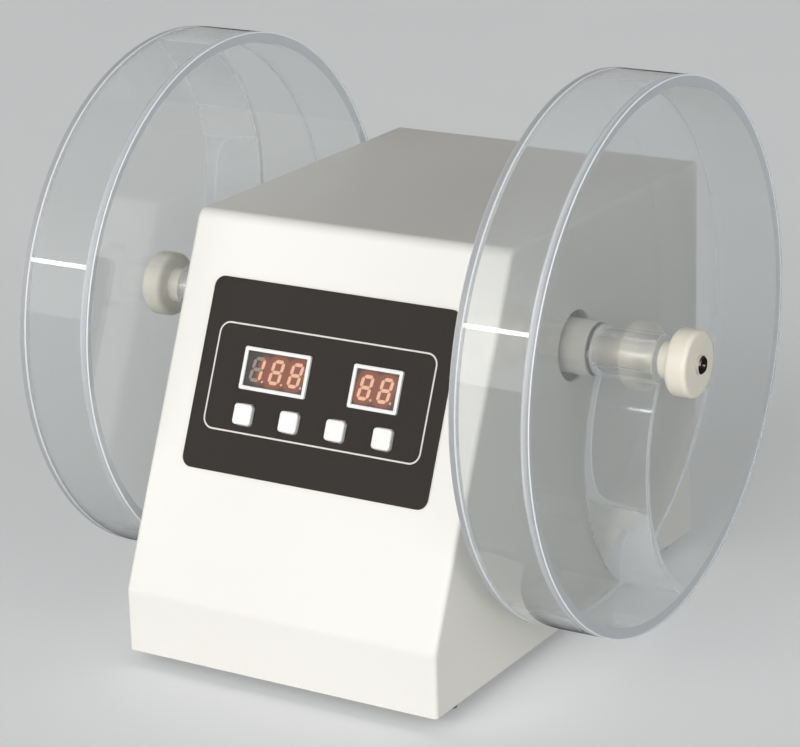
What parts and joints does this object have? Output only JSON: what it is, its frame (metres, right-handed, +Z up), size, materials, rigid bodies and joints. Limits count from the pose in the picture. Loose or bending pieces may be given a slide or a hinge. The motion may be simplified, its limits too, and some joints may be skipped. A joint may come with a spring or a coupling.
{
  "type": "tablet friability tester",
  "caption": "Bench tester that turns clear drums on a driven spindle each side of a steel housing, to tumble tablets; sloping panel with displays and keys.",
  "frame": {"origin": "on the surface that the feet stand on, below the middle of the spindle, at the centre of the bounding box", "axes": "+X along the spindle, to the right seen from the front; +Y from the control panel to the rear; +Z up"},
  "size_m": [0.353, 0.297, 0.316],
  "materials": {
    "painted_steel": "light grey-white powder coat",
    "zinc_steel": "zinc plated",
    "screw_steel": "bright zinc",
    "rubber_black": "matte",
    "acrylic": "clear cast acrylic, polished",
    "ivory_plastic": "moulded, satin",
    "polished_steel": "polished stainless steel",
    "bearing_steel": "ground",
    "stand_alloy": "milled, black anodised",
    "nylon_gear": "machined nylon",
    "pinion_steel": "hobbed",
    "black_plastic": "moulded",
    "panel_charcoal": "printed film, matte",
    "white_plastic": "moulded, satin",
    "display_smoke": "faintly smoked acrylic",
    "digit_grey": "moulded",
    "board_green": "solder mask",
    "motor_steel": "drawn and plated",
    "core_steel": "laminated sheets",
    "coil_tape": "yellow tape",
    "brass": "plated",
    "fuse_glass": "clear"
  },
  "bodies": {
    "root": {"housing_shell": "painted_steel", "rear_panel": "painted_steel", "base_plate": "zinc_steel", "motor_bracket": "zinc_steel", "sensor_bracket": "zinc_steel", "transformer_strap": "zinc_steel", "casing_screws": "screw_steel", "foot_screws": "screw_steel", "frame_screws": "screw_steel", "gearbox_screws": "screw_steel", "rubber_feet": "rubber_black", "bearing_stand_left": "stand_alloy", "bearing_stand_right": "stand_alloy", "board_spacers": "brass", "inlet_pins": "brass", "bearing_outer_rings": "bearing_steel", "gearbox_case": "motor_steel", "motor_can": "motor_steel", "light_sensor": "black_plastic", "control_panel": "panel_charcoal", "display_bezels": "white_plastic", "display_windows": "display_smoke", "digit_modules": "digit_grey", "display_board": "board_green", "control_board": "board_green", "key_switches": "black_plastic", "transformer_core": "core_steel", "transformer_coil": "coil_tape", "mains_inlet": "black_plastic", "switch_frame": "black_plastic"},
    "spindle": {"spindle_shaft": "polished_steel", "bearing_inner_rings": "bearing_steel", "bearing_balls": "bearing_steel", "drive_collar_left": "polished_steel", "drive_collar_right": "polished_steel", "drive_pins": "polished_steel", "drive_gear": "nylon_gear", "grub_screws": "screw_steel", "counter_disc": "black_plastic"},
    "pinion": {"motor_pinion": "pinion_steel", "motor_shaft": "pinion_steel"},
    "power_rocker": {"power_rocker": "black_plastic"},
    "fuse_drawer": {"fuse_drawer": "black_plastic", "fuse": "fuse_glass"},
    "drum_left": {"drum_back_left": "acrylic", "drum_ring_left": "acrylic", "drum_hub_left": "acrylic", "drum_scoop_left": "acrylic"},
    "lid_left": {"drum_lid_left": "acrylic"},
    "knob_left": {"knob_left": "ivory_plastic"},
    "drum_right": {"drum_back_right": "acrylic", "drum_ring_right": "acrylic", "drum_hub_right": "acrylic", "drum_scoop_right": "acrylic"},
    "lid_right": {"drum_lid_right": "acrylic"},
    "knob_right": {"knob_right": "ivory_plastic"},
    "key_1": {"key_1": "white_plastic"},
    "key_2": {"key_2": "white_plastic"},
    "key_3": {"key_3": "white_plastic"},
    "key_4": {"key_4": "white_plastic"}
  },
  "joints": [
    {"name": "drum_spin", "type": "hinge", "parent": "root", "child": "spindle", "pos_m": [0, 0, 0.1675], "axis": [1, 0, 0], "continuous": true},
    {"name": "pinion_spin", "type": "hinge", "parent": "root", "child": "pinion", "pos_m": [0.02, 0.036, 0.1195], "axis": [1, 0, 0], "continuous": true},
    {"name": "drum_right_pull", "type": "slide", "parent": "spindle", "child": "drum_right", "axis": [1, 0, 0], "range_m": [0, 0.08]},
    {"name": "lid_right_off", "type": "slide", "parent": "drum_right", "child": "lid_right", "axis": [1, 0, 0], "range_m": [0, 0.06]},
    {"name": "knob_right_turn", "type": "hinge", "parent": "lid_right", "child": "knob_right", "pos_m": [0.163, 0, 0.1675], "axis": [1, 0, 0], "continuous": true},
    {"name": "drum_left_pull", "type": "slide", "parent": "spindle", "child": "drum_left", "axis": [-1, 0, 0], "range_m": [0, 0.08]},
    {"name": "lid_left_off", "type": "slide", "parent": "drum_left", "child": "lid_left", "axis": [-1, 0, 0], "range_m": [0, 0.06]},
    {"name": "knob_left_turn", "type": "hinge", "parent": "lid_left", "child": "knob_left", "pos_m": [-0.163, 0, 0.1675], "axis": [-1, 0, 0], "continuous": true},
    {"name": "key_1_press", "type": "slide", "parent": "root", "child": "key_1", "axis": [0, 0.9158, -0.4017], "range_m": [0, 0.001], "stiffness_N_per_m": 800},
    {"name": "key_2_press", "type": "slide", "parent": "root", "child": "key_2", "axis": [0, 0.9158, -0.4017], "range_m": [0, 0.001], "stiffness_N_per_m": 800},
    {"name": "key_3_press", "type": "slide", "parent": "root", "child": "key_3", "axis": [0, 0.9158, -0.4017], "range_m": [0, 0.001], "stiffness_N_per_m": 800},
    {"name": "key_4_press", "type": "slide", "parent": "root", "child": "key_4", "axis": [0, 0.9158, -0.4017], "range_m": [0, 0.001], "stiffness_N_per_m": 800},
    {"name": "power_switch", "type": "hinge", "parent": "root", "child": "power_rocker", "pos_m": [0.055, 0.1423, 0.105], "axis": [1, 0, 0], "range_deg": [-20, 0]},
    {"name": "fuse_drawer_pull", "type": "slide", "parent": "root", "child": "fuse_drawer", "axis": [0, 1, 0], "range_m": [0, 0.018]}
  ],
  "couplings": [
    {"joint": "pinion_spin", "follows": "drum_spin", "ratio": -2}
  ]
}
